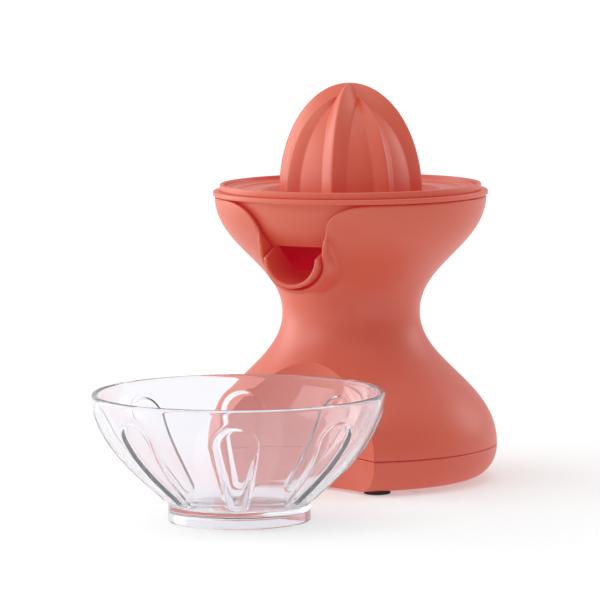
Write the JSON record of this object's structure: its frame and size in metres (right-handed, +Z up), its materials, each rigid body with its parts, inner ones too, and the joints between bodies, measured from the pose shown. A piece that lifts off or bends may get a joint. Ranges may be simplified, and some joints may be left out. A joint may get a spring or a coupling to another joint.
{
  "type": "citrus press juicer",
  "caption": "Electric citrus press: a ribbed reamer over a strainer and juice collector with a pouring lip, on an hourglass body, with a separate clear bowl.",
  "frame": {"origin": "middle of the base tray's underside, on the reamer's axis", "axes": "+Z up along the reamer's axis, -Y towards the pouring lip, +X to the right seen from the lip's side"},
  "size_m": [0.1563, 0.2823, 0.1963],
  "materials": {
    "coral_plastic": "satin moulded coral plastic",
    "clear_plastic": "clear, with a faint cool tint in its edges",
    "rubber": "matt",
    "steel": "machined",
    "white_nylon": "natural nylon",
    "black_plastic": "moulded",
    "copper_winding": "varnished winding"
  },
  "bodies": {
    "body": {"housing": "coral_plastic", "base_tray": "coral_plastic", "rubber_foot_1": "rubber", "rubber_foot_2": "rubber", "rubber_foot_3": "rubber", "rubber_foot_4": "rubber", "base_screw_1": "steel", "base_screw_2": "steel", "base_screw_3": "steel", "base_screw_4": "steel", "cord_gland": "rubber", "idler_axle": "steel", "gearbox_case": "black_plastic", "gearbox_cover": "black_plastic", "case_screw_1": "steel", "case_screw_2": "steel", "case_screw_3": "steel", "motor_can": "steel", "motor_end_cap": "black_plastic", "stator_coils": "copper_winding", "return_spring": "steel", "shaft_bush": "white_nylon", "shaft_seal": "rubber", "switch_body": "black_plastic", "terminal_block": "white_nylon"},
    "drive": {"output_gear": "white_nylon"},
    "idler": {"idler_gear": "white_nylon"},
    "rotor": {"motor_rotor": "steel", "motor_pinion": "steel"},
    "shaft": {"drive_shaft": "steel", "retaining_clip": "steel"},
    "reamer": {"reamer": "coral_plastic"},
    "strainer": {"strainer": "coral_plastic"},
    "collector": {"collector": "coral_plastic"},
    "plunger": {"switch_plunger": "white_nylon"},
    "bowl": {"bowl": "clear_plastic"}
  },
  "joints": [
    {"name": "drive_spin", "type": "hinge", "parent": "body", "child": "drive", "pos_m": [0, 0, 0.036], "axis": [0, 0, 1], "continuous": true},
    {"name": "press", "type": "slide", "parent": "drive", "child": "shaft", "axis": [0, 0, 1], "range_m": [-0.0025, 0], "stiffness_N_per_m": 1500, "springref_m": 0.004, "deforming": ["return_spring"]},
    {"name": "reamer_lift", "type": "slide", "parent": "shaft", "child": "reamer", "axis": [0, 0, 1], "range_m": [0, 0.12]},
    {"name": "strainer_lift", "type": "slide", "parent": "body", "child": "strainer", "axis": [0, 0, 1], "range_m": [0, 0.072]},
    {"name": "collector_lift", "type": "slide", "parent": "body", "child": "collector", "axis": [0, 0, 1], "range_m": [0, 0.036]},
    {"name": "idler_spin", "type": "hinge", "parent": "body", "child": "idler", "pos_m": [0.0191, 0.01992, 0.04], "axis": [0, 0, 1], "continuous": true},
    {"name": "motor_spin", "type": "hinge", "parent": "body", "child": "rotor", "pos_m": [0, 0.032, 0.02], "axis": [0, 0, 1], "continuous": true},
    {"name": "switch_press", "type": "slide", "parent": "body", "child": "plunger", "axis": [0, 0, 1], "range_m": [-0.0025, 0]},
    {"name": "bowl_slide", "type": "slide", "parent": "body", "child": "bowl", "axis": [-0.4706, 0.8824, 0], "range_m": [0, 0.0335]}
  ],
  "couplings": [
    {"joint": "idler_spin", "follows": "drive_spin", "ratio": -2.6667},
    {"joint": "motor_spin", "follows": "drive_spin", "ratio": 5.3333},
    {"joint": "switch_press", "follows": "press", "ratio": 1},
    {"joint": "strainer_lift", "follows": "reamer_lift", "ratio": 0.6},
    {"joint": "collector_lift", "follows": "reamer_lift", "ratio": 0.3}
  ]
}
